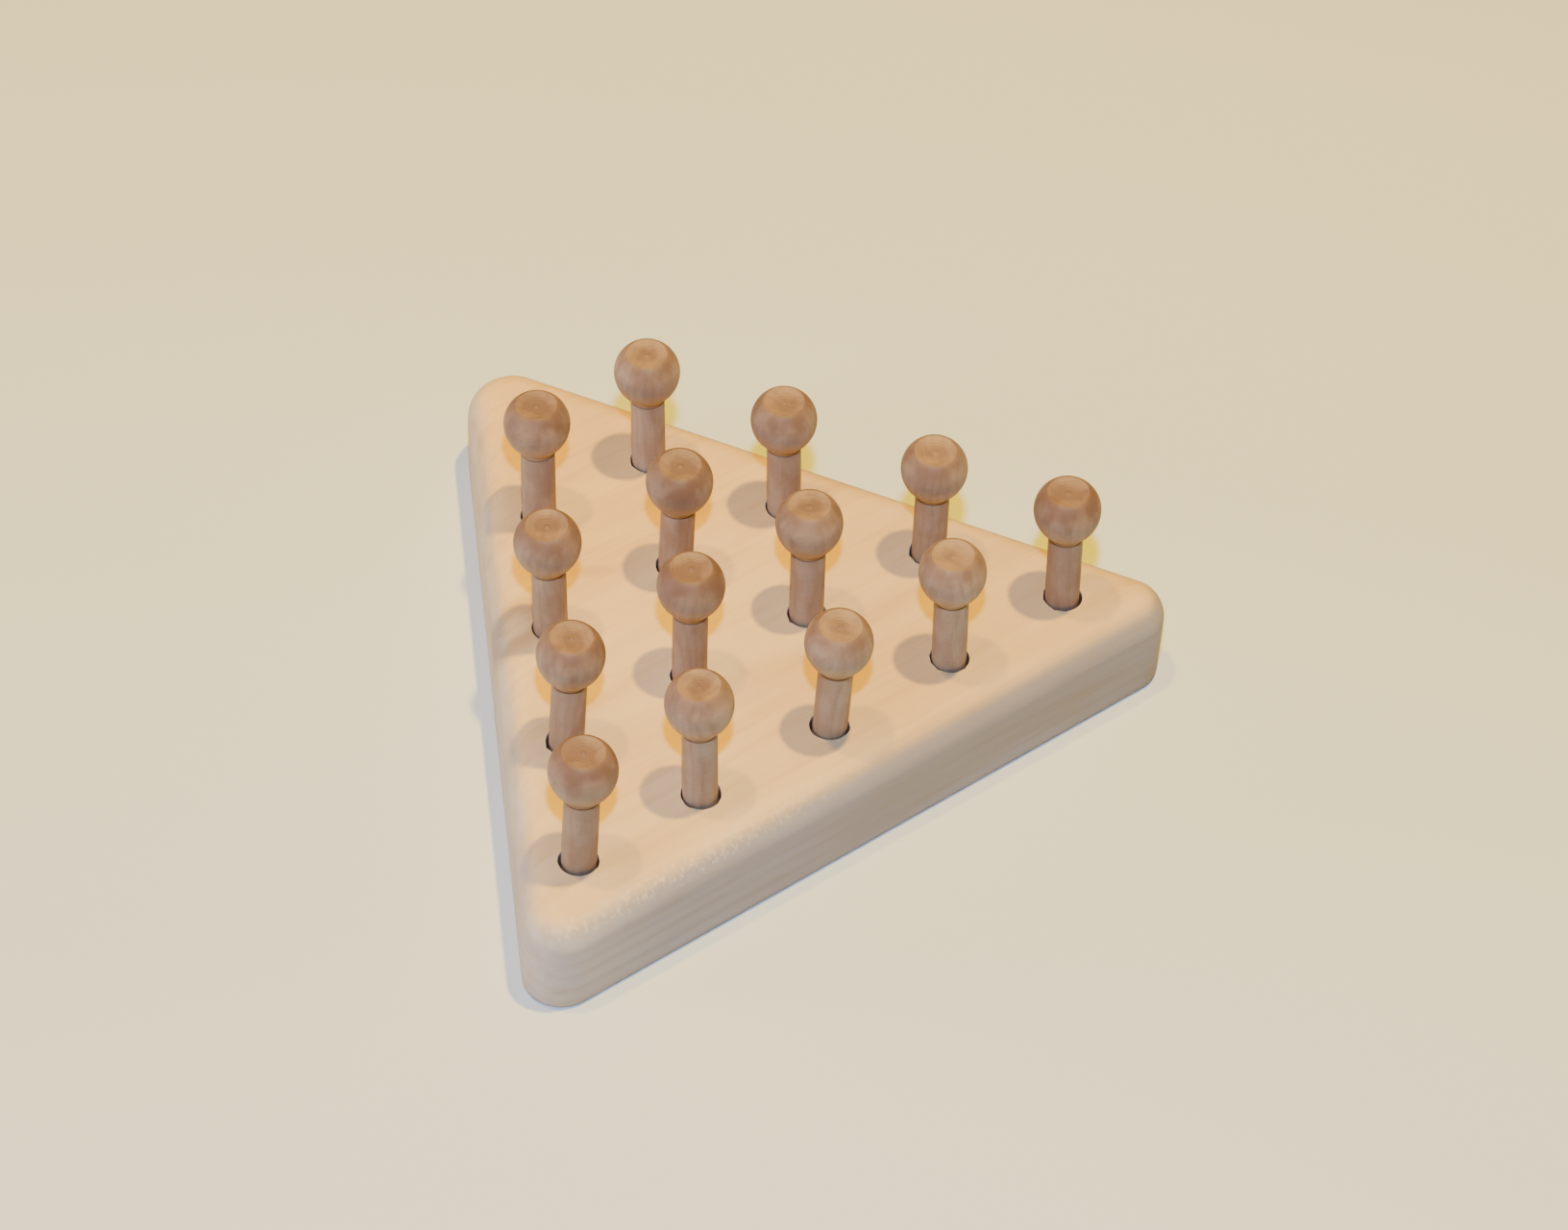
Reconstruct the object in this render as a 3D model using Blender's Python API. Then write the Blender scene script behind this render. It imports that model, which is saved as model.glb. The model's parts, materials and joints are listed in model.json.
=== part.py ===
"""Triangle peg solitaire: a solid wooden board with fifteen blind holes, and the fourteen turned
wooden pegs that stand in them.  The hole in the far corner is empty, ready for the first jump.

Units are metres and +Z is up.  The origin is the middle of the triangle of holes, on the flat
underside.  +X runs along the front row of five holes, and +Y points to the corner opposite.
"""

import math

import bmesh
import bpy
from mathutils import Matrix, Vector

MM = 0.001

# Board
HOLE_SPACING = 25.4 * MM
ROWS = 5
BOARD_THICKNESS = 19.1 * MM
# Front, right and left sides: the direction each faces, in degrees from +X, and how far it lies
# outside the outer row of holes.
SIDES = [(-90, 12.5 * MM), (30, 11.8 * MM), (150, 10.0 * MM)]
CORNER_RADII = [6.5 * MM, 8.0 * MM, 6.5 * MM]      # right, far and left corners
TOP_ROUNDING = 5.7 * MM
BOTTOM_ROUNDING = 1.1 * MM
HOLE_DIAMETER = 6.5 * MM
HOLE_DEPTH = 12.7 * MM

# Peg, from its turned head down
HEAD_DIAMETER = 11.4 * MM
HEAD_HEIGHT = 21.4 * MM       # centre of the ball above the top of the board
FACET_RATIO = 0.76            # height of the cut on top of the ball, in ball radii
DISH_DEPTH = 0.4 * MM
DISH_FLOOR_RADIUS = 2.4 * MM
FLARE_DIAMETER = 7.0 * MM     # where the ball runs out into the neck
GROOVE_BELOW_HEAD = 6.35 * MM
GROOVE_WIDTH = 0.6 * MM
GROOVE_DEPTH = 0.25 * MM
NECK_DIAMETER = 5.9 * MM
SHANK_DIAMETER = 5.9 * MM
TIP_DIAMETER = 5.5 * MM
TIP_CHAMFER = 0.5 * MM
CLEARANCE = 0.3 * MM          # between the tip and the bottom of the hole
LEAN_PIVOT_DEPTH = 4.0 * MM   # a peg leans about this point below the top of the board

# The holes are drilled by eye and the pegs stand loosely in them.  Row by row from the front, and
# left to right: how far the hole strays from the grid along X and Y in millimetres, and how far
# its peg leans towards X and Y in degrees.
HAND_WORK = [
    [(0.1, 0.2, 2.2, 0.4), (-0.9, 0.1, -0.1, 2.4), (0.2, -0.1, -0.2, -2.6),
     (0.6, 0.1, -2.2, 0.6), (-0.2, 0.0, -1.8, 1.4)],
    [(0.4, 0.2, 1.1, -1.4), (0.4, 0.0, 0.1, 1.6), (-0.4, 0.0, 0.0, 2.0), (0.1, -0.6, -1.8, -0.8)],
    [(0.3, 0.3, -2.1, -0.2), (0.4, 0.0, -0.5, -2.1), (-1.1, 0.3, -1.9, 1.2)],
    [(0.7, 0.9, 0.8, 2.5), (-1.1, 1.0, -1.3, 1.1)],
    [(0.0, 0.0, 0.0, 0.0)],
]
EMPTY_HOLE = (4, 0)

CORNER_STEPS = 8
TOP_ROUNDING_STEPS = 5
BOTTOM_ROUNDING_STEPS = 2
HOLE_SIDES = 32
PEG_SIDES = 20
BALL_STEPS = 7
SAME_PLACE = 0.01 * MM

ROW_PITCH = HOLE_SPACING * math.sin(math.radians(60))
ROW_OFFSET = (ROWS - 1) * ROW_PITCH / 3     # from the origin to each outer row of holes


def clear_scene():
    for item in list(bpy.data.objects):
        bpy.data.objects.remove(item, do_unlink=True)


def make_material(name, colour, roughness):
    material = bpy.data.materials.new(name)
    material.use_nodes = True
    shader = material.node_tree.nodes["Principled BSDF"]
    shader.inputs["Base Color"].default_value = (*colour, 1.0)
    shader.inputs["Roughness"].default_value = roughness
    shader.inputs["Metallic"].default_value = 0.0
    material.diffuse_color = (*colour, 1.0)
    return material


def add_object(name, mesh, material=None):
    item = bpy.data.objects.new(name, mesh)
    bpy.context.scene.collection.objects.link(item)
    if material and not mesh.materials:
        mesh.materials.append(material)
    return item


def mesh_from(bm, name):
    bmesh.ops.recalc_face_normals(bm, faces=bm.faces[:])
    mesh = bpy.data.meshes.new(name)
    bm.to_mesh(mesh)
    bm.free()
    mesh.shade_smooth()
    mesh.set_sharp_from_angle(angle=math.radians(35))
    return mesh


def hole_centre(row, place):
    """Centre of a drilled hole at the level of the underside."""
    stray_x, stray_y = HAND_WORK[row][place][:2]
    x = (place - (ROWS - 1 - row) / 2) * HOLE_SPACING + stray_x * MM
    y = row * ROW_PITCH - ROW_OFFSET + stray_y * MM
    return Vector((x, y, 0.0))


def drilled_holes():
    return [(row, place) for row in range(ROWS) for place in range(ROWS - row)]


def facing(degrees):
    return Vector((math.cos(math.radians(degrees)), math.sin(math.radians(degrees))))


def board_outline():
    """Plan of the board: three straight sides joined by arcs, counter-clockwise."""
    points = []
    for index, radius in enumerate(CORNER_RADII):
        start, start_margin = SIDES[index]
        end, end_margin = SIDES[(index + 1) % len(SIDES)]
        # The arc's centre lies one radius inside both sides.
        inset = Vector((ROW_OFFSET + start_margin - radius, ROW_OFFSET + end_margin - radius))
        centre = Matrix((facing(start), facing(end))).inverted() @ inset
        turn = (end - start) % 360
        for step in range(CORNER_STEPS + 1):
            points.append(centre + radius * facing(start + turn * step / CORNER_STEPS))
    return points


def make_board(material):
    bm = bmesh.new()
    corners = [bm.verts.new((x, y, 0.0)) for x, y in board_outline()]
    base = bm.faces.new(corners)
    raised = bmesh.ops.extrude_face_region(bm, geom=[base])
    top = [item for item in raised["geom"] if isinstance(item, bmesh.types.BMVert)]
    bmesh.ops.translate(bm, verts=top, vec=(0.0, 0.0, BOARD_THICKNESS))

    def rim(height):
        return [edge for edge in bm.edges
                if all(abs(vert.co.z - height) < SAME_PLACE for vert in edge.verts)]

    bmesh.ops.bevel(bm, geom=rim(BOARD_THICKNESS), offset=TOP_ROUNDING, affect="EDGES",
                    segments=TOP_ROUNDING_STEPS, profile=0.5, material=-1)
    bmesh.ops.bevel(bm, geom=rim(0.0), offset=BOTTOM_ROUNDING, affect="EDGES",
                    segments=BOTTOM_ROUNDING_STEPS, profile=0.5, material=-1)
    board = add_object("board", mesh_from(bm, "board"), material)

    drills = bmesh.new()
    for row, place in drilled_holes():
        middle = hole_centre(row, place)
        middle.z = BOARD_THICKNESS
        bmesh.ops.create_cone(drills, cap_ends=True, segments=HOLE_SIDES,
                              radius1=HOLE_DIAMETER / 2, radius2=HOLE_DIAMETER / 2,
                              depth=2 * HOLE_DEPTH, matrix=Matrix.Translation(middle))
    cutter = add_object("drills", mesh_from(drills, "drills"))
    cutter.hide_render = True
    cutter.display_type = "WIRE"
    cut = board.modifiers.new("holes", "BOOLEAN")
    cut.operation = "DIFFERENCE"
    cut.object = cutter


def peg_profile():
    """Radius and height of the turned peg, from its tip to the middle of its head.

    Heights are from the top of the board.
    """
    ball = HEAD_DIAMETER / 2
    neck = NECK_DIAMETER / 2
    tip = CLEARANCE - HOLE_DEPTH
    groove = HEAD_HEIGHT - GROOVE_BELOW_HEAD
    profile = [
        (0.0, tip),
        (TIP_DIAMETER / 2 - TIP_CHAMFER, tip),
        (TIP_DIAMETER / 2, tip + TIP_CHAMFER),
        (SHANK_DIAMETER / 2, 0.0),
        (neck, groove - GROOVE_WIDTH / 2),
        (neck - GROOVE_DEPTH, groove),
        (neck, groove + GROOVE_WIDTH / 2),
    ]
    lowest = -math.acos(FLARE_DIAMETER / 2 / ball)
    highest = math.asin(FACET_RATIO)
    for step in range(BALL_STEPS + 1):
        angle = lowest + (highest - lowest) * step / BALL_STEPS
        profile.append((ball * math.cos(angle), HEAD_HEIGHT + ball * math.sin(angle)))
    dish_floor = HEAD_HEIGHT + ball * FACET_RATIO - DISH_DEPTH
    profile.append((DISH_FLOOR_RADIUS, dish_floor))
    profile.append((0.0, dish_floor))
    return profile


def turned_peg_mesh():
    """The peg as a mesh whose origin is the point it leans about."""
    bm = bmesh.new()
    verts = [bm.verts.new((radius, 0.0, height + LEAN_PIVOT_DEPTH))
             for radius, height in peg_profile()]
    edges = [bm.edges.new(pair) for pair in zip(verts, verts[1:])]
    bmesh.ops.spin(bm, geom=verts + edges, cent=(0.0, 0.0, 0.0), axis=(0.0, 0.0, 1.0),
                   angle=math.tau, steps=PEG_SIDES, use_merge=True)
    bmesh.ops.remove_doubles(bm, verts=bm.verts[:], dist=SAME_PLACE)
    return mesh_from(bm, "turned_peg")


def stand_pegs(material):
    mesh = turned_peg_mesh()
    for row, place in drilled_holes():
        if (row, place) == EMPTY_HOLE:
            continue
        peg = add_object(f"peg_row{row + 1}_hole{place + 1}", mesh, material)
        lean_x, lean_y = HAND_WORK[row][place][2:]
        peg.location = hole_centre(row, place)
        peg.location.z = BOARD_THICKNESS - LEAN_PIVOT_DEPTH
        peg.rotation_euler = (math.radians(-lean_y), math.radians(lean_x), 0.0)


clear_scene()
make_board(make_material("pale_hardwood", (0.70, 0.56, 0.40), 0.6))
stand_pegs(make_material("turned_tan_wood", (0.42, 0.25, 0.13), 0.5))
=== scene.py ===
import json
import math
import random

import bmesh
import bpy
from mathutils import Matrix, Vector, noise


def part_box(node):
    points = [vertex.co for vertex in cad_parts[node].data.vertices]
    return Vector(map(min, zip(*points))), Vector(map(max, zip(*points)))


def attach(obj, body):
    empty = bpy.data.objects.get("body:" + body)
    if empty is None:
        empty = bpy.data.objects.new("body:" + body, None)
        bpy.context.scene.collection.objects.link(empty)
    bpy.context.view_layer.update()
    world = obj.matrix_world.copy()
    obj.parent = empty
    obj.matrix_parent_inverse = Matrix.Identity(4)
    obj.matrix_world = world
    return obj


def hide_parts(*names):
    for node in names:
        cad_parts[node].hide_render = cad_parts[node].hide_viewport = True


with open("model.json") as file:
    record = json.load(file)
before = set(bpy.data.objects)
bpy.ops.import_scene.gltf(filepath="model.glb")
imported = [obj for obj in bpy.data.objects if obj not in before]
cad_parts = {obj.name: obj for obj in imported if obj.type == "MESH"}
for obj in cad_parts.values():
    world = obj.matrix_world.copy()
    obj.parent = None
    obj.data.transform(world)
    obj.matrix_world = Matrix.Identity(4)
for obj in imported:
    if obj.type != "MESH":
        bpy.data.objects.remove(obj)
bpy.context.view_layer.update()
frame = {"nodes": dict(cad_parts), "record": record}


# ---------------------------------------------------------------------------------------------
# Camera.  A long lens a good arm's length away looks down on the board past its left front
# corner, held a little off level.
MM = 0.001
CAMERA_AZIMUTH = math.radians(-39.2)
CAMERA_ELEVATION = math.radians(47.6)
CAMERA_ROLL = math.radians(3.15)
CAMERA_DISTANCE = 779 * MM
CAMERA_TARGET = Vector((8.7, -5.5, 19.1)) * MM
CAMERA_LENS = 105.2

backward = Vector((math.sin(CAMERA_AZIMUTH) * math.cos(CAMERA_ELEVATION),
                   -math.cos(CAMERA_AZIMUTH) * math.cos(CAMERA_ELEVATION),
                   math.sin(CAMERA_ELEVATION)))
level_right = Vector((math.cos(CAMERA_AZIMUTH), math.sin(CAMERA_AZIMUTH), 0.0))
level_up = backward.cross(level_right)
camera = bpy.data.objects.new("camera", bpy.data.cameras.new("camera"))
bpy.context.scene.collection.objects.link(camera)
camera.data.lens = CAMERA_LENS
camera.data.clip_start = 0.05
turn = Matrix((level_right, level_up, backward)).transposed() @ Matrix.Rotation(CAMERA_ROLL, 3, "Z")
camera.matrix_world = Matrix.Translation(CAMERA_TARGET + CAMERA_DISTANCE * backward) @ turn.to_4x4()
bpy.context.scene.camera = camera


# ---------------------------------------------------------------------------------------------
# Studio.  A plain pale table top, two warm lamps overhead a little to either side, a cooler lamp
# just above the lens, and a wide soft lamp low on the left.
FLOOR_SIZE = 8.0
FLOOR_COLOUR = (0.62, 0.66, 0.71)
FLOOR_ROUGHNESS = 0.9
AMBIENT_COLOUR = (1.0, 0.98, 0.94)
AMBIENT_STRENGTH = 0.02

floor_bm = bmesh.new()
bmesh.ops.create_grid(floor_bm, x_segments=1, y_segments=1, size=FLOOR_SIZE / 2)
floor_mesh = bpy.data.meshes.new("floor")
floor_bm.to_mesh(floor_mesh)
floor_bm.free()
floor = bpy.data.objects.new("floor", floor_mesh)
bpy.context.scene.collection.objects.link(floor)
floor_material = bpy.data.materials.new("pale_table_top")
floor_material.use_nodes = True
floor_shader = floor_material.node_tree.nodes["Principled BSDF"]
floor_shader.inputs["Base Color"].default_value = (*FLOOR_COLOUR, 1.0)
floor_shader.inputs["Roughness"].default_value = FLOOR_ROUGHNESS
floor_mesh.materials.append(floor_material)


def add_lamp(name, direction, distance, size, power, colour):
    """A round soft lamp that shines at the middle of the board from a direction."""
    lamp = bpy.data.objects.new(name, bpy.data.lights.new(name, "AREA"))
    bpy.context.scene.collection.objects.link(lamp)
    lamp.data.shape = "DISK"
    lamp.data.size = size
    lamp.data.energy = power
    lamp.data.color = colour
    lamp.location = CAMERA_TARGET + distance * direction.normalized()
    lamp.rotation_euler = direction.to_track_quat("Z", "Y").to_euler()


overhead = Vector((0.0, 0.0, 1.0))
add_lamp("lamp_right", overhead + 0.15 * level_right - 0.02 * backward,
         distance=1.6, size=0.07, power=44.0, colour=(1.0, 0.64, 0.02))
add_lamp("lamp_left", overhead - 0.20 * level_right - 0.01 * backward,
         distance=1.6, size=0.09, power=17.0, colour=(1.0, 0.58, 0.01))
add_lamp("lamp_above_lens", backward + 0.15 * level_up,
         distance=0.77, size=0.03, power=7.2, colour=(0.51, 0.70, 1.0))
add_lamp("lamp_low_left", -level_right + 0.3 * backward - 0.13 * overhead,
         distance=1.1, size=0.35, power=9.0, colour=(1.0, 0.93, 0.96))

world = bpy.data.worlds.new("studio")
bpy.context.scene.world = world
world.use_nodes = True
sky = world.node_tree.nodes["Background"]
sky.inputs["Color"].default_value = (*AMBIENT_COLOUR, 1.0)
sky.inputs["Strength"].default_value = AMBIENT_STRENGTH


# ---------------------------------------------------------------------------------------------
# Board.  One solid triangle of pale close-grained wood, sawn with its grain along the front
# edge, rounded over along the top, eased below, drilled by eye from above and left bare.
# Front, right and left sides: the direction each faces, in degrees from +X, and how far it lies
# outside the outer row of holes.
BOARD_SIDES = [(-90, 12.5 * MM), (30, 11.8 * MM), (150, 10.0 * MM)]
BOARD_CORNERS = [6.5 * MM, 8.0 * MM, 6.5 * MM]      # radii of the right, far and left corners
TOP_ROUNDING = 5.7 * MM
BOTTOM_ROUNDING = 1.1 * MM
TOP_STEPS = 12
BOTTOM_STEPS = 4
CORNER_STEPS = 96             # to a full turn
BOARD_CREASE = math.radians(28)
SAME_PLACE = 0.01 * MM
HOLE_SPACING = 25.4 * MM
SPACES_IN_ROW = 4
HOLE_RADIUS = 3.25 * MM
HOLE_DEPTH = 12.7 * MM
HOLE_STEPS = 72
POINT_RADIUS = 0.9 * MM       # the dimple that the tip of the drill leaves
POINT_DEPTH = 0.8 * MM
MOUTH_FLARE = 0.12 * MM
MOUTH_DEPTH = 0.35 * MM
TEAR_OUT = 0.14 * MM
TEARS_PER_METRE = Vector((900, 900, 500))
PIVOT_DEPTH = 4.0 * MM        # each peg leans about this point below the top of the board
TIP_BAND = 0.3 * MM           # the parts of a peg's solid that count as its tip and its crown
CROWN_BAND = 0.4 * MM

board_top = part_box("board")[1].z
opening = frame["record"]["physics"]["openings"][0]["box_m"]
empty_hole = Vector(((opening[0][0] + opening[1][0]) / 2, (opening[0][1] + opening[1][1]) / 2, 0.0))
# From the origin to each outer row of holes.
row_distance = SPACES_IN_ROW * HOLE_SPACING * math.tan(math.radians(30)) / 2


def facing(degrees):
    return Vector((math.cos(math.radians(degrees)), math.sin(math.radians(degrees))))


def standing_line(node):
    """The tip of a peg and the middle of its crown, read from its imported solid."""
    low, high = (corner.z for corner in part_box(node))
    corners = [Vector(vert.co) for vert in frame["nodes"][node].data.vertices]
    tip = [co for co in corners if co.z < low + TIP_BAND]
    crown = [co for co in corners if co.z > high - CROWN_BAND]
    return sum(tip, Vector()) / len(tip), sum(crown, Vector()) / len(crown)


peg_nodes = sorted(name for name in frame["nodes"] if name.startswith("peg_"))
peg_lines = {node: standing_line(node) for node in peg_nodes}
hole_centres = [empty_hole]
for tip, crown in peg_lines.values():
    share = (board_top - PIVOT_DEPTH - tip.z) / (crown.z - tip.z)
    middle = tip.lerp(crown, share)
    hole_centres.append(Vector((middle.x, middle.y, 0.0)))

board_bm = bmesh.new()
for index, radius in enumerate(BOARD_CORNERS):
    (first, first_margin), (second, second_margin) = BOARD_SIDES[index], BOARD_SIDES[(index + 1) % 3]
    reach = Vector((row_distance + first_margin - radius, row_distance + second_margin - radius))
    x, y = Matrix((facing(first), facing(second))).inverted() @ reach
    bmesh.ops.create_cone(board_bm, cap_ends=True, segments=CORNER_STEPS, radius1=radius,
                          radius2=radius, depth=board_top,
                          matrix=Matrix.Translation((x, y, board_top / 2)))
hull = bmesh.ops.convex_hull(board_bm, input=board_bm.verts[:])
inner = [item for item in hull["geom_interior"] if isinstance(item, bmesh.types.BMVert)]
bmesh.ops.delete(board_bm, geom=inner, context="VERTS")
bmesh.ops.dissolve_limit(board_bm, angle_limit=math.radians(0.5), verts=board_bm.verts[:],
                         edges=board_bm.edges[:])
bmesh.ops.recalc_face_normals(board_bm, faces=board_bm.faces[:])
for height, rounding, steps in [(board_top, TOP_ROUNDING, TOP_STEPS),
                                (0.0, BOTTOM_ROUNDING, BOTTOM_STEPS)]:
    rim = [edge for edge in board_bm.edges
           if all(abs(vert.co.z - height) < SAME_PLACE for vert in edge.verts)]
    bmesh.ops.bevel(board_bm, geom=rim, offset=rounding, affect="EDGES", segments=steps,
                    profile=0.5, material=-1)

# A narrow border round each broad face keeps its shading flat up to the rounding.
BROAD_AREA = 200 * MM * MM
BORDER_WIDTH = 0.5 * MM
broad = [face for face in board_bm.faces if face.calc_area() > BROAD_AREA]
bmesh.ops.inset_individual(board_bm, faces=broad, thickness=BORDER_WIDTH, use_even_offset=True)
board_mesh = bpy.data.meshes.new("board_blank")
board_bm.to_mesh(board_mesh)
board_bm.free()
board = bpy.data.objects.new("solid_board", board_mesh)
bpy.context.scene.collection.objects.link(board)

drill_bm = bmesh.new()
drill_outline = [
    (0.0, board_top - HOLE_DEPTH - POINT_DEPTH),
    (POINT_RADIUS, board_top - HOLE_DEPTH),
    (HOLE_RADIUS, board_top - HOLE_DEPTH),
    (HOLE_RADIUS, board_top - 2 * MOUTH_DEPTH),
    (HOLE_RADIUS + 0.2 * MOUTH_FLARE, board_top - MOUTH_DEPTH),
    (HOLE_RADIUS + 0.5 * MOUTH_FLARE, board_top - 0.4 * MOUTH_DEPTH),
    (HOLE_RADIUS + MOUTH_FLARE, board_top),
    (HOLE_RADIUS + 3 * MOUTH_FLARE, board_top + 2 * MOUTH_DEPTH),
    (0.0, board_top + 2 * MOUTH_DEPTH),
]
for centre in hole_centres:
    points = [drill_bm.verts.new(centre + Vector((radius, 0.0, height)))
              for radius, height in drill_outline]
    edges = [drill_bm.edges.new(pair) for pair in zip(points, points[1:])]
    bmesh.ops.spin(drill_bm, geom=points + edges, cent=centre, axis=(0.0, 0.0, 1.0),
                   angle=math.tau, steps=HOLE_STEPS, use_merge=True)
bmesh.ops.remove_doubles(drill_bm, verts=drill_bm.verts[:], dist=0.005 * MM)

# The drill tears small chips out of each mouth.
for vert in drill_bm.verts:
    centre = min(hole_centres, key=lambda middle: (vert.co.xy - middle.xy).length)
    across = vert.co - Vector((centre.x, centre.y, vert.co.z))
    if vert.co.z > board_top - 1.5 * MOUTH_DEPTH and across.length > MM:
        chip = max(0.0, noise.noise(vert.co * TEARS_PER_METRE)) * 2 * TEAR_OUT
        vert.co += across.normalized() * chip
bmesh.ops.recalc_face_normals(drill_bm, faces=drill_bm.faces[:])
drill_mesh = bpy.data.meshes.new("drills")
drill_bm.to_mesh(drill_mesh)
drill_bm.free()
drills = bpy.data.objects.new("drills", drill_mesh)
bpy.context.scene.collection.objects.link(drills)
cut = board.modifiers.new("holes", "BOOLEAN")
cut.operation = "DIFFERENCE"
cut.object = drills
bpy.context.view_layer.update()
drilled = bpy.data.meshes.new_from_object(board.evaluated_get(bpy.context.evaluated_depsgraph_get()))
board.modifiers.clear()
board.data = drilled
board.data.name = "solid_board"
bpy.data.objects.remove(drills)

# How deep inside a drilled hole each corner of the mesh lies: 0 on the outside, 1 in the bore.
bore = drilled.attributes.new("bore", "FLOAT", "POINT")
for index, vert in enumerate(drilled.vertices):
    near = min((vert.co.xy - middle.xy).length for middle in hole_centres)
    depth = board_top - vert.co.z
    inside = near < HOLE_RADIUS + 4 * MOUTH_FLARE and depth > 0.02 * MM
    bore.data[index].value = min(1.0, depth / (2 * MOUTH_DEPTH)) if inside else 0.0
drilled.shade_smooth()
drilled.set_sharp_from_angle(angle=BOARD_CREASE)


class Field:
    """One output of a material's nodes.  Arithmetic on it adds Math nodes."""

    def __init__(self, socket):
        self.socket = socket

    def add(self, kind, settings, sockets, output=0):
        """Adds a node: its settings first, then the values or links of its sockets."""
        tree = self.socket.id_data
        made = tree.nodes.new("ShaderNode" + kind)
        for name, value in settings.items():
            setattr(made, name, value)
        for name, value in sockets.items():
            if isinstance(value, Field):
                tree.links.new(value.socket, made.inputs[name])
            else:
                made.inputs[name].default_value = value
        return Field(made.outputs[output])

    def math(self, operation, *others):
        """A Math node with this number first and the others after it."""
        return self.add("Math", {"operation": operation}, dict(enumerate((self, *others))))

    def __add__(self, other):
        return self.math("ADD", other)

    def __sub__(self, other):
        return self.math("SUBTRACT", other)

    def __rsub__(self, other):
        return self.add("Math", {"operation": "SUBTRACT"}, {0: other, 1: self})

    def __mul__(self, other):
        return self.math("MULTIPLY", other)

    def __truediv__(self, other):
        return self.math("DIVIDE", other)

    __radd__ = __add__
    __rmul__ = __mul__

    def between(self, low, high):
        """0 below low, 1 above high and a smooth step between."""
        return self.add("MapRange", {"interpolation_type": "SMOOTHSTEP"},
                        {"Value": self, "From Min": low, "From Max": high})

    def split(self):
        """The three numbers of a vector."""
        return [self.add("SeparateXYZ", {}, {"Vector": self}, axis) for axis in range(3)]

    def scaled(self, factors):
        """This vector or colour with each of its three numbers multiplied by its own factor."""
        return self.add("VectorMath", {"operation": "MULTIPLY"}, {0: self, 1: factors})

    def noise(self, detail=3.0, roughness=0.5):
        """Cloudy noise from 0 to 1 at this place, one cloud to a unit."""
        return self.add("TexNoise", {}, {"Vector": self, "Scale": 1.0, "Detail": detail,
                                         "Roughness": roughness})

    def tint(self, under, over):
        """This much of the colour over laid on the colour under."""
        return self.add("Mix", {"data_type": "RGBA", "clamp_factor": True},
                        {0: self, 6: under, 7: over}, 2)


def rgb(red, green, blue):
    return (red, green, blue, 1.0)


def new_wood(name, roughness, specular):
    """A material with a Principled shader, and its texture coordinates and shader node."""
    material = bpy.data.materials.new(name)
    material.use_nodes = True
    shader = material.node_tree.nodes["Principled BSDF"]
    shader.inputs["Roughness"].default_value = roughness
    shader.inputs["Specular IOR Level"].default_value = specular
    coordinates = material.node_tree.nodes.new("ShaderNodeTexCoord")
    return material, shader, Field(coordinates.outputs["Object"])


def feed(shader, name, field):
    shader.id_data.links.new(field.socket, shader.inputs[name])


BOARD_CREAM = rgb(0.69, 0.49, 0.295)
BOARD_TAN = rgb(0.56, 0.35, 0.17)
BOARD_GOLDEN = rgb(0.86, 0.54, 0.23)
BOARD_LATEWOOD = rgb(0.44, 0.27, 0.14)
STAIN_BROWN = rgb(0.36, 0.19, 0.08)
RAISED_FIBRE = rgb(0.70, 0.60, 0.50)
BORE_SHADE_BROWN = rgb(0.11, 0.055, 0.03)
# How much the wood's red, green and blue are scaled on the edges, on the left and on the front:
# partly greyer edge grain, partly painted cool light and painted shade, which lifts blue above one.
EDGE_GREY_AND_COOL_LIGHT_LEFT = rgb(0.68, 0.84, 1.36)
EDGE_GREY_SHADE_AND_COOL_LIGHT_FRONT = rgb(0.49, 0.62, 1.10)
# The middle of the tree and the width of its rings, in millimetres, in the board's own frame.
PITH_Y = 24.0
PITH_Z = -260.0
RING_WIDTH = 3.1
KNOT_CENTRE = (-30.0, 18.5, 19.0)
KNOT_HALF_SIZES = (5.2, 3.6, 9.0)
KNOT_SLANT = 0.35
# Where each faint streak lies and its half sizes, in millimetres, then its slant and strength.
BOARD_STREAKS = [
    ((-12.0, 21.5, 19.0), (7.5, 2.2, 6.0), -0.55, 0.30),
    ((-4.0, -13.0, 19.0), (1.2, 5.0, 6.0), 0.20, 0.15),
    ((-9.5, 59.0, 19.0), (4.0, 1.5, 6.0), 1.00, 0.22),
    ((12.0, -38.5, 19.0), (16.0, 1.0, 3.0), 0.05, 0.14),
]


def oval(place, centre, half_sizes, slant):
    """How far out a place lies in a slanted oval: 0 at its middle and 1 on its rim."""
    inside = place.add("Mapping", {"vector_type": "TEXTURE"},
                       {"Vector": place, "Location": centre, "Rotation": (0.0, 0.0, slant),
                        "Scale": half_sizes})
    return inside.add("VectorMath", {"operation": "LENGTH"}, {0: inside}, 1)


board_wood, board_shader, place = new_wood("pale_board_wood", 0.62, 0.3)
place_mm = place.scaled((1000.0, 1000.0, 1000.0))
x, y, z = place_mm.split()
wander = place_mm.scaled((0.010, 0.045, 0.045)).noise(2.0) - 0.5
ripple = place_mm.scaled((0.05, 0.30, 0.30)).noise(2.0) - 0.5
across = y - PITH_Y + wander * 9.0
above = z - PITH_Z + wander * 5.0 + ripple * 0.9
ring_radius = (across * across + above * above).math("SQRT")
rings = (ring_radius / RING_WIDTH).math("FRACT")
latewood = rings.between(0.25, 0.92) * (1.0 - rings.between(0.93, 1.0))
clouds = place_mm.scaled((0.020, 0.075, 0.075)).noise(3.0)
streaks = place_mm.scaled((0.035, 0.55, 0.55)).noise(3.0, 0.6)
fibres = place_mm.scaled((0.16, 5.5, 5.5)).noise(2.0, 0.6)
warmth = clouds.between(0.35, 0.70) * 0.45 + streaks.between(0.40, 0.75) * 0.35
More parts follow.
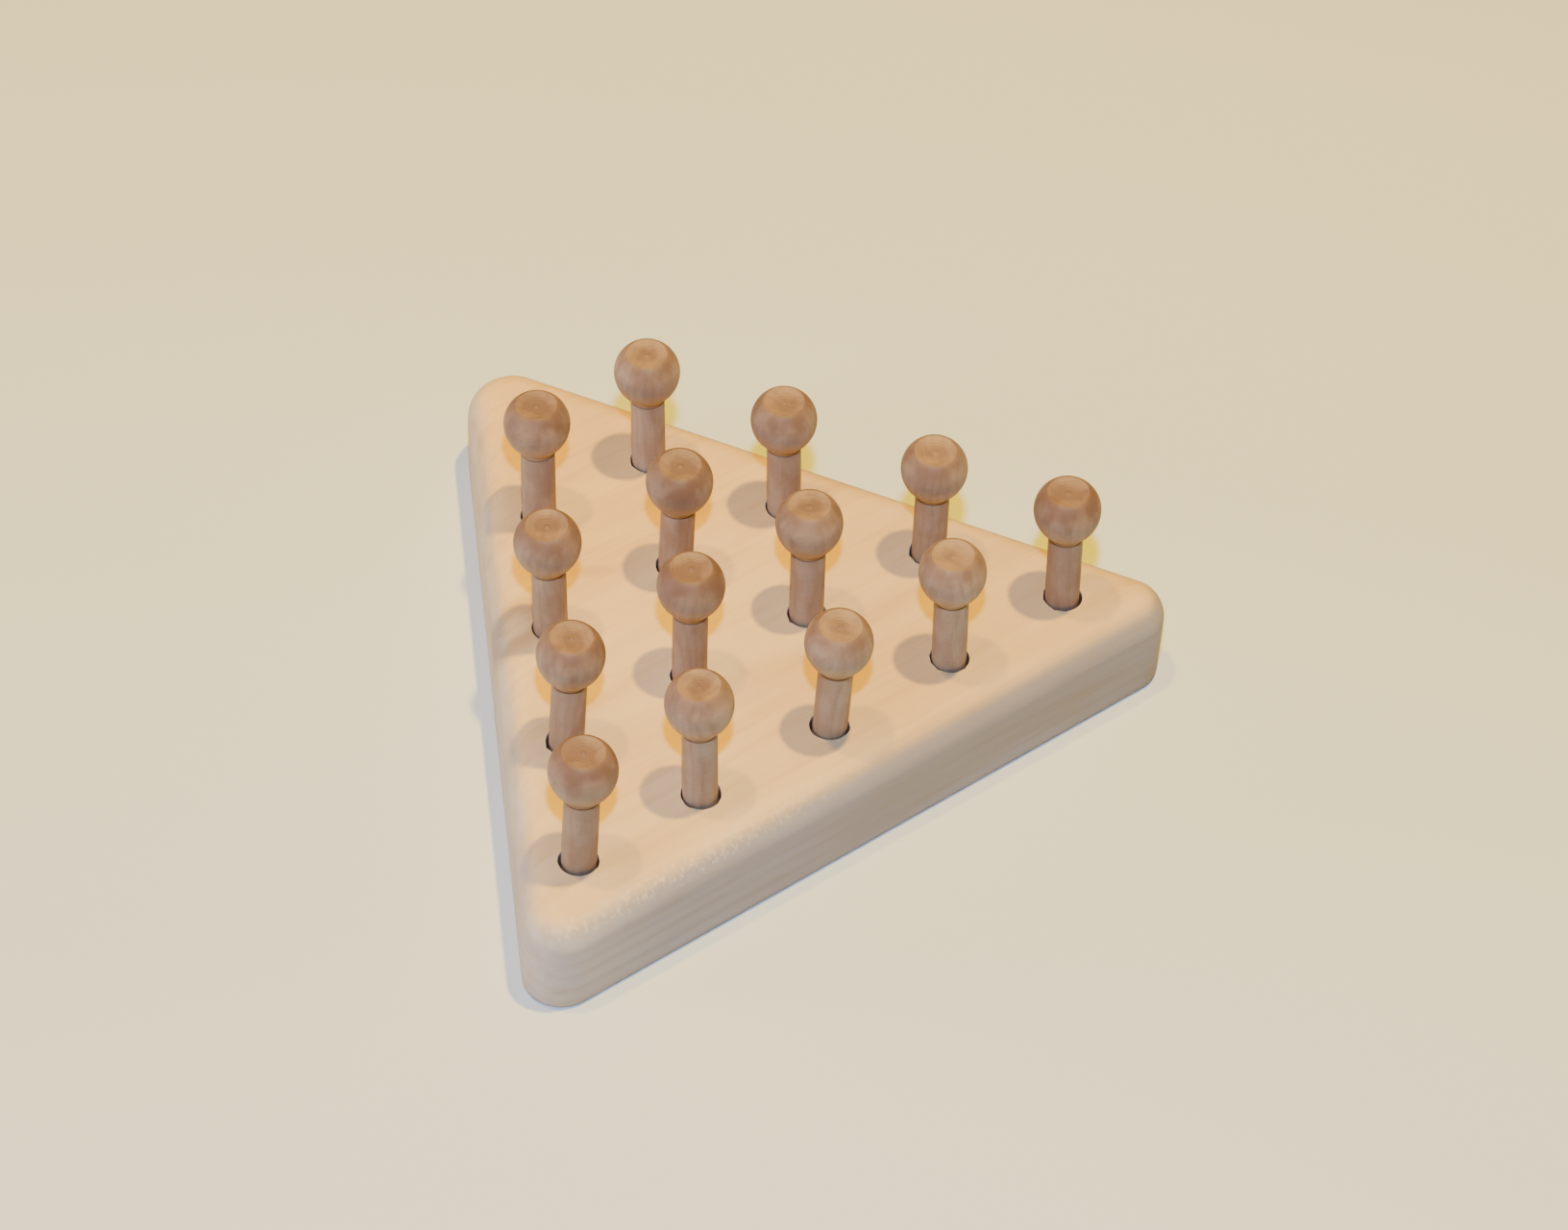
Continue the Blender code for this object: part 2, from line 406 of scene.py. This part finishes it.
# The top turns tanner towards the right and more golden towards the far corner.
warmth = warmth + x.between(-40.0, 70.0) * 0.36
board_colour = (y.between(-20.0, 60.0) * 0.65).tint(BOARD_CREAM, BOARD_GOLDEN)
board_colour = warmth.tint(board_colour, BOARD_TAN)
board_colour = (latewood * 0.15).tint(board_colour, BOARD_LATEWOOD)
board_colour = (fibres.between(0.50, 0.80) * 0.16).tint(board_colour, BOARD_LATEWOOD)

# A small knot with a brown rim near the left edge, and a few faint brown streaks.
knot = oval(place_mm, KNOT_CENTRE, KNOT_HALF_SIZES, KNOT_SLANT) + (streaks - 0.5) * 0.8
knot_rim = knot.between(0.25, 0.95) * (1.0 - knot.between(1.0, 1.8))
board_colour = (knot_rim * 0.45).tint(board_colour, STAIN_BROWN)
for centre, size, slant, strength in BOARD_STREAKS:
    streak = 1.0 - (oval(place_mm, centre, size, slant) + (streaks - 0.5) * 1.2).between(0.1, 1.0)
    board_colour = (streak * strength).tint(board_colour, STAIN_BROWN)

# The edges and the lower rounding, picked out by the way the surface faces, are greyer and bluer than
# the faces: partly edge grain, partly painted cool light and painted shade.  Pale fibres stand up
# where the rounding starts, most of all towards the left of the front.
facing_up = place.add("NewGeometry", {}, {}, 1).split()[2]
edge = 1.0 - facing_up.math("ABSOLUTE").between(0.60, 0.96)
left_side = facing(BOARD_SIDES[2][0])
to_left = x * left_side.x + y * left_side.y
edge_grey_and_painted_light = to_left.between(12.0, 38.0).tint(EDGE_GREY_SHADE_AND_COOL_LIGHT_FRONT, EDGE_GREY_AND_COOL_LIGHT_LEFT)
board_colour = edge.tint(board_colour, board_colour.scaled(edge_grey_and_painted_light))
tufts = place_mm.scaled((1.1, 0.8, 0.8)).noise(3.0, 0.7).between(0.46, 0.66)
fuzz = tufts * z.between(15.6, 17.4) * (1.0 - z.between(18.5, 19.0)) * (1.0 - y.between(-42.0, -34.0))
fuzz = fuzz * (1.0 - x.between(-40.0, 10.0))
board_colour = (fuzz * 0.6).tint(board_colour, RAISED_FIBRE)
# Deeper inside each hole the wood turns nearly black: painted shade in the bore.
bore_depth = place.add("Attribute", {"attribute_name": "bore"}, {}, 2)
board_colour = (bore_depth * 0.85).tint(board_colour, BORE_SHADE_BROWN)
feed(board_shader, "Base Color", board_colour)
feed(board_shader, "Roughness", 0.56 + fibres * 0.12)
relief = fibres * 0.5 + streaks * 0.3 + latewood * 0.35 + fuzz * 2.0
feed(board_shader, "Normal", relief.add("Bump", {}, {"Strength": 0.35, "Distance": 0.05 * MM,
                                                      "Height": relief}))
drilled.materials.clear()
drilled.materials.append(board_wood)
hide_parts("board")
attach(board, "board")


# ---------------------------------------------------------------------------------------------
# Pegs.  Each is turned from one length of close-grained dowel: a ball head faced off to a
# shallow dish with a pip left at its centre, a burnt line round the neck and a plain shank.
BALL_RADIUS = 5.7 * MM
BALL_DROP = 6.15 * MM         # the lower half of the ball is drawn out a little
HEAD_ABOVE_BOARD = 21.4 * MM
FACE_RATIO = 0.757            # height of the face above the middle of the ball, in ball radii
NECK_RADIUS = 2.95 * MM
SHANK_RADIUS = 2.95 * MM
TIP_RADIUS = 2.75 * MM
TIP_CHAMFER = 0.5 * MM
TIP_CLEARANCE = 0.3 * MM
GROOVE_BELOW_HEAD = 6.22 * MM
GROOVE_HALF_WIDTH = 0.24 * MM
GROOVE_DEPTH = 0.10 * MM
FLARE_RADIUS = 3.35 * MM
DISH_RADIUS = 3.45 * MM
DISH_DEPTH = 0.48 * MM
PIP_HEIGHT = 0.30 * MM
PIP_RADIUS = 0.36 * MM
CUT_PITCH = 0.62 * MM
CUT_DEPTH = 0.018 * MM
TURNING_STEPS = 72
SHANK_STEPS = 6
NECK_STEPS = 10
GROOVE_STEPS = 10
FLARE_STEPS = 10
BALL_STEPS = 32
RIM_STEPS = 5
DISH_STEPS = 40
PEG_CREASE = math.radians(40)
# The rim of the ball turns over from this far below the face, in ball radii, round a corner this
# far outside the dish.
RIM_DROP_RATIO = 0.05
RIM_CORNER = 0.18 * MM
# How dark and red each peg is, row by row from the front: 0 is the palest, 1 the darkest.
PEG_TONES = [
    [0.92, 0.42, 0.12, 0.00, 0.90],
    [0.68, 0.92, 0.42, 0.30],
    [0.55, 0.85, 0.50],
    [0.72, 0.14],
]

board_level = HOLE_DEPTH - TIP_CLEARANCE
head_height = board_level + HEAD_ABOVE_BOARD
face_height = head_height + FACE_RATIO * BALL_RADIUS
groove_height = head_height - GROOVE_BELOW_HEAD


def shares(steps):
    """Even shares of a run of steps, without its start and with its end."""
    return [step / steps for step in range(1, steps + 1)]


def line(start, end, steps):
    """Points of a straight line after its start."""
    return [start.lerp(end, share) for share in shares(steps)]


def curve(start, control, end, steps):
    """Points of a quadratic curve after its start."""
    return [start.lerp(control, share).lerp(control.lerp(end, share), share)
            for share in shares(steps)]


def peg_outline(pip_height, cut_phase):
    """Radius and height above the tip of a peg's side, from the tip to the middle of the dish."""
    points = [Vector((0.0, 0.0)), Vector((TIP_RADIUS - TIP_CHAMFER, 0.0)),
              Vector((TIP_RADIUS - 0.3 * TIP_CHAMFER, 0.3 * TIP_CHAMFER)),
              Vector((TIP_RADIUS, TIP_CHAMFER))]
    points += line(points[-1], Vector((SHANK_RADIUS, board_level)), SHANK_STEPS)
    points += line(points[-1], Vector((NECK_RADIUS, groove_height - GROOVE_HALF_WIDTH)), NECK_STEPS)
    for share in shares(GROOVE_STEPS)[:-1]:
        side = 2 * share - 1
        points.append(Vector((NECK_RADIUS - GROOVE_DEPTH * math.cos(side * math.pi / 2) ** 2,
                              groove_height + side * GROOVE_HALF_WIDTH)))
    collar = Vector((NECK_RADIUS, groove_height + GROOVE_HALF_WIDTH))
    ball_foot = -math.acos(FLARE_RADIUS / BALL_RADIUS)
    foot = Vector((FLARE_RADIUS, head_height + BALL_DROP * math.sin(ball_foot)))
    corner = Vector((NECK_RADIUS, foot.y - (FLARE_RADIUS - NECK_RADIUS) / math.tan(-ball_foot)))
    points.append(collar)
    points += curve(collar, corner, foot, FLARE_STEPS)
    ball_top = math.asin(FACE_RATIO - RIM_DROP_RATIO)
    for share in shares(BALL_STEPS):
        angle = ball_foot + (ball_top - ball_foot) * share
        half_height = BALL_DROP if angle < 0 else BALL_RADIUS
        points.append(Vector((BALL_RADIUS * math.cos(angle),
                              head_height + half_height * math.sin(angle))))
    rim = Vector((DISH_RADIUS, face_height))
    points += curve(points[-1], rim + Vector((RIM_CORNER, 0.0)), rim, RIM_STEPS)
    for inward in shares(DISH_STEPS):
        share = 1 - inward
        radius = DISH_RADIUS * share
        dish = DISH_DEPTH * (1 - share ** 3)
        cuts = CUT_DEPTH * math.cos(math.tau * radius / CUT_PITCH + cut_phase) * (1 - share ** 6)
        pip = pip_height * math.exp(-(radius / PIP_RADIUS) ** 2)
        points.append(Vector((radius, face_height - dish + cuts + pip)))
    return points


def add_peg(node, tone, seed):
    """One turned peg, standing where its solid stands."""
    chance = random.Random(seed)
    outline = peg_outline(PIP_HEIGHT * chance.uniform(0.5, 1.2), chance.uniform(0, math.tau))
    bm = bmesh.new()
    points = [bm.verts.new((point.x, 0.0, point.y)) for point in outline]
    edges = [bm.edges.new(pair) for pair in zip(points, points[1:])]
    bmesh.ops.spin(bm, geom=points + edges, cent=(0.0, 0.0, 0.0), axis=(0.0, 0.0, 1.0),
                   angle=math.tau, steps=TURNING_STEPS, use_merge=True)
    bmesh.ops.remove_doubles(bm, verts=bm.verts[:], dist=0.002 * MM)
    bmesh.ops.recalc_face_normals(bm, faces=bm.faces[:])
    mesh = bpy.data.meshes.new("turned_" + node)
    bm.to_mesh(mesh)
    bm.free()

    # The place on the peg itself, in millimetres from the middle of its tip, and its own tone.
    own_place = mesh.attributes.new("own_place", "FLOAT_VECTOR", "POINT")
    for vert, place in zip(mesh.vertices, own_place.data):
        place.vector = vert.co / MM
    own_tone = mesh.attributes.new("own_tone", "FLOAT", "POINT")
    for item in own_tone.data:
        item.value = tone

    tip, crown = peg_lines[node]
    upright = (crown - tip).to_track_quat("Z", "Y").to_matrix()
    spin = Matrix.Rotation(chance.uniform(0, math.tau), 3, "Z")
    mesh.transform(Matrix.Translation(tip) @ (upright @ spin).to_4x4())
    mesh.shade_smooth()
    mesh.set_sharp_from_angle(angle=PEG_CREASE)
    peg = bpy.data.objects.new("turned_" + node, mesh)
    bpy.context.scene.collection.objects.link(peg)
    return peg


SIDE_PALE = rgb(0.370, 0.270, 0.195)
SIDE_TAN = rgb(0.275, 0.168, 0.114)
END_PALE = rgb(0.325, 0.224, 0.172)
END_BROWN = rgb(0.142, 0.076, 0.057)
FACE_PALE = rgb(0.298, 0.187, 0.126)
FACE_BROWN = rgb(0.170, 0.098, 0.078)
PEG_DARK = rgb(0.15, 0.08, 0.05)
BURNT = rgb(0.11, 0.055, 0.028)
# Each peg takes its grain from another place in the tree, which its tone sets, in millimetres.
GRAIN_SHIFT = (370.0, 910.0, 530.0)
PEG_PITH_X = -11.0
PEG_RING_WIDTH = 1.5

peg_wood, peg_shader, place = new_wood("turned_tan_wood", 0.55, 0.3)
own = place.add("Attribute", {"attribute_name": "own_place"}, {}, 1)
tone = place.add("Attribute", {"attribute_name": "own_tone"}, {}, 2)
shift = place.add("CombineXYZ", {}, {axis: tone * far for axis, far in zip("XYZ", GRAIN_SHIFT)})
grain_place = own.add("VectorMath", {"operation": "ADD"}, {0: own, 1: shift})
x, y, z = own.split()
bend = grain_place.scaled((0.12, 0.12, 0.05)).noise(2.0) - 0.5
off_pith = x - PEG_PITH_X + bend * 5.0
ring_radius = (off_pith * off_pith + y * y).math("SQRT")
rings = (ring_radius / PEG_RING_WIDTH).math("FRACT")
latewood = rings.between(0.3, 0.9) * (1.0 - rings.between(0.92, 1.0))
fibres = grain_place.scaled((4.0, 4.0, 0.30)).noise(3.0, 0.6)
blotches = grain_place.scaled((0.30, 0.30, 0.18)).noise(2.0, 0.5)
turning = own.scaled((0.25, 0.25, 6.5)).noise(2.0)

# The wood is greyer along its side grain, browner where the ball cuts across the grain, darkest just
# outside the rim of the dish, where browned end grain and painted shade lie together, and lighter
# again on the faced-off end.
depth = tone * 0.70 + blotches.between(0.34, 0.64) * 0.48
above_head = z - head_height / MM
above_face = z - face_height / MM
cut_across = (above_head + (blotches - 0.5) * 2.5).between(-2.0, 3.6)
peg_colour = cut_across.tint(depth.tint(SIDE_PALE, SIDE_TAN), depth.tint(END_PALE, END_BROWN))
peg_colour = (latewood * 0.18).tint(peg_colour, PEG_DARK)
peg_colour = (fibres.between(0.50, 0.75) * 0.22).tint(peg_colour, PEG_DARK)
peg_colour = (turning.between(0.45, 0.75) * 0.16).tint(peg_colour, PEG_DARK)
# Browned end grain and painted shade on the shoulder just below the rim of the dish.
shoulder_browning_and_shade = above_face.between(-2.6, -0.5) * (0.35 + blotches * 0.6)
peg_colour = (shoulder_browning_and_shade * 0.85).tint(peg_colour, END_BROWN)
from_axis = (x * x + y * y).math("SQRT")
past_dish = (from_axis - DISH_RADIUS / MM).between(0.0, 0.12)
face = above_head.between(2.0, 3.0) * (1.0 - past_dish)
# The faced-off end turns darker towards the middle of the dish.
face_darkness = depth + latewood * 0.12 + (1.0 - from_axis.between(0.8, 3.0)) * 0.55 - 0.22
peg_colour = face.tint(peg_colour, face_darkness.tint(FACE_PALE, FACE_BROWN))
from_groove = (z - groove_height / MM).math("ABSOLUTE")
burn = (1.0 - from_groove.between(0.06, 0.26)) * 0.80
peg_colour = burn.tint(peg_colour, BURNT)
feed(peg_shader, "Base Color", peg_colour)
feed(peg_shader, "Roughness", 0.50 + fibres * 0.15)
relief = fibres * 0.35 + latewood * 0.2 + turning * 0.35
feed(peg_shader, "Normal", relief.add("Bump", {}, {"Strength": 0.3, "Distance": 0.04 * MM,
                                                    "Height": relief}))

for seed, node in enumerate(peg_nodes):
    row, hole = (int(word[-1]) for word in node.split("_")[1:])
    peg = add_peg(node, PEG_TONES[row - 1][hole - 1], seed)
    peg.data.materials.append(peg_wood)
    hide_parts(node)
    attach(peg, node)
